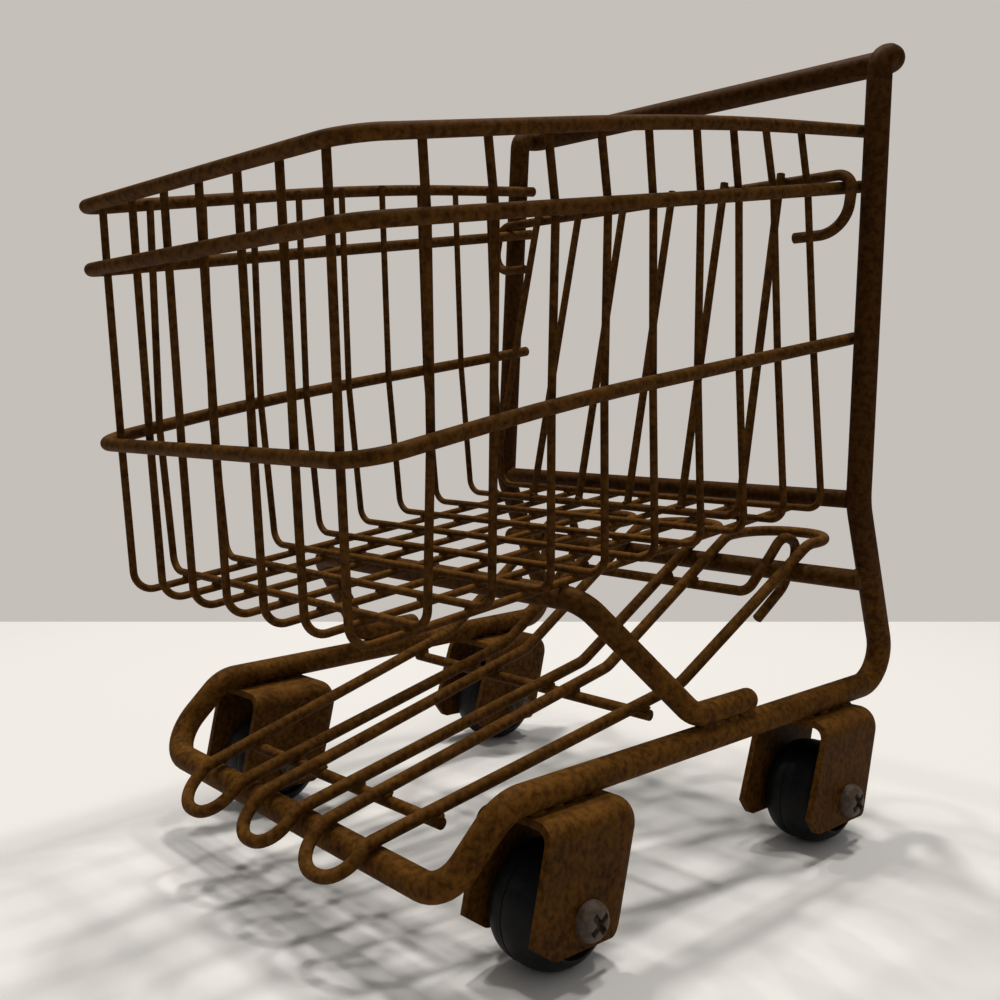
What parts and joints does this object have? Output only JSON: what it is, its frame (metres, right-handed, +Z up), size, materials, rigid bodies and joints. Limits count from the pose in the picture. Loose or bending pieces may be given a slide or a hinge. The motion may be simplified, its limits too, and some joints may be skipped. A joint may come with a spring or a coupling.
{
  "type": "miniature wire shopping cart",
  "caption": "Doll-size welded wire shopping cart with a basket, a hung rear gate, a lifting lower rack and wheels on fixed forks.",
  "frame": {"origin": "centre of the footprint at floor level, where the wheels stand", "axes": "+Z up; -Y the cart's front, +Y the handle side; +X the left-hand side seen from the handle"},
  "size_m": [0.1508, 0.1808, 0.2073],
  "materials": {
    "frame_rod": "dark brown rust patina, rough, over mild steel",
    "ring_wire": "dark brown rust patina, rough, over mild steel",
    "thin_wire": "dark brown rust patina, rough, over mild steel",
    "gate_wire": "dark brown rust patina, rough, over mild steel",
    "tray_wire": "dark brown rust patina, rough, over mild steel",
    "bracket_sheet": "dark brown rust patina, rough, over mild steel",
    "fastener_steel": "dark brown rust patina, rough, over mild steel",
    "black_rubber": "matt black moulded rubber, dusty"
  },
  "bodies": {
    "chassis": {"axle_nut_front_left": "fastener_steel", "axle_nut_front_right": "fastener_steel", "axle_nut_rear_left": "fastener_steel", "axle_nut_rear_right": "fastener_steel", "axle_screw_front_left": "fastener_steel", "axle_screw_front_right": "fastener_steel", "axle_screw_rear_left": "fastener_steel", "axle_screw_rear_right": "fastener_steel", "basket_hoop_1": "thin_wire", "basket_hoop_2": "thin_wire", "basket_hoop_3": "thin_wire", "basket_hoop_4": "thin_wire", "basket_hoop_5": "thin_wire", "basket_hoop_6": "thin_wire", "basket_hoop_7": "thin_wire", "basket_hoop_8": "thin_wire", "basket_hoop_9": "thin_wire", "basket_long_wire_1": "thin_wire", "basket_long_wire_2": "thin_wire", "basket_long_wire_3": "thin_wire", "basket_long_wire_4": "thin_wire", "basket_long_wire_5": "thin_wire", "basket_long_wire_6": "thin_wire", "basket_long_wire_7": "thin_wire", "basket_second_ring": "ring_wire", "basket_support": "frame_rod", "basket_third_ring": "ring_wire", "basket_top_rim": "ring_wire", "main_frame": "frame_rod", "rear_lower_crossbar": "frame_rod", "rear_upper_crossbar": "frame_rod", "wheel_bracket_front_left": "bracket_sheet", "wheel_bracket_front_right": "bracket_sheet", "wheel_bracket_rear_left": "bracket_sheet", "wheel_bracket_rear_right": "bracket_sheet"},
    "gate": {"gate_frame_wire": "gate_wire", "gate_top_bar": "gate_wire", "gate_wire_1": "gate_wire", "gate_wire_2": "gate_wire", "gate_wire_3": "gate_wire", "gate_wire_4": "gate_wire"},
    "tray": {"tray_front_cross_wire": "tray_wire", "tray_hinge_wire": "tray_wire", "tray_loop_centre": "tray_wire", "tray_loop_left": "tray_wire", "tray_loop_right": "tray_wire", "tray_mid_cross_wire": "tray_wire"},
    "wheel_front_left": {"wheel_front_left": "black_rubber"},
    "wheel_front_right": {"wheel_front_right": "black_rubber"},
    "wheel_rear_left": {"wheel_rear_left": "black_rubber"},
    "wheel_rear_right": {"wheel_rear_right": "black_rubber"}
  },
  "joints": [
    {"name": "gate_swing", "type": "hinge", "parent": "chassis", "child": "gate", "pos_m": [0, 0.062, 0.17306], "axis": [-1, 0, 0], "range_deg": [0, 11]},
    {"name": "tray_lift", "type": "hinge", "parent": "chassis", "child": "tray", "pos_m": [0, 0.06757, 0.0678], "axis": [-1, 0, 0], "range_deg": [0, 17]},
    {"name": "wheel_front_left_spin", "type": "hinge", "parent": "chassis", "child": "wheel_front_left", "pos_m": [0.05989, -0.0436, 0.013], "axis": [1, 0, 0], "continuous": true},
    {"name": "wheel_front_right_spin", "type": "hinge", "parent": "chassis", "child": "wheel_front_right", "pos_m": [-0.06008, -0.034, 0.013], "axis": [1, 0, 0], "continuous": true},
    {"name": "wheel_rear_left_spin", "type": "hinge", "parent": "chassis", "child": "wheel_rear_left", "pos_m": [0.06178, 0.0545, 0.013], "axis": [1, 0, 0], "continuous": true},
    {"name": "wheel_rear_right_spin", "type": "hinge", "parent": "chassis", "child": "wheel_rear_right", "pos_m": [-0.0618, 0.056, 0.013], "axis": [1, 0, 0], "continuous": true}
  ]
}
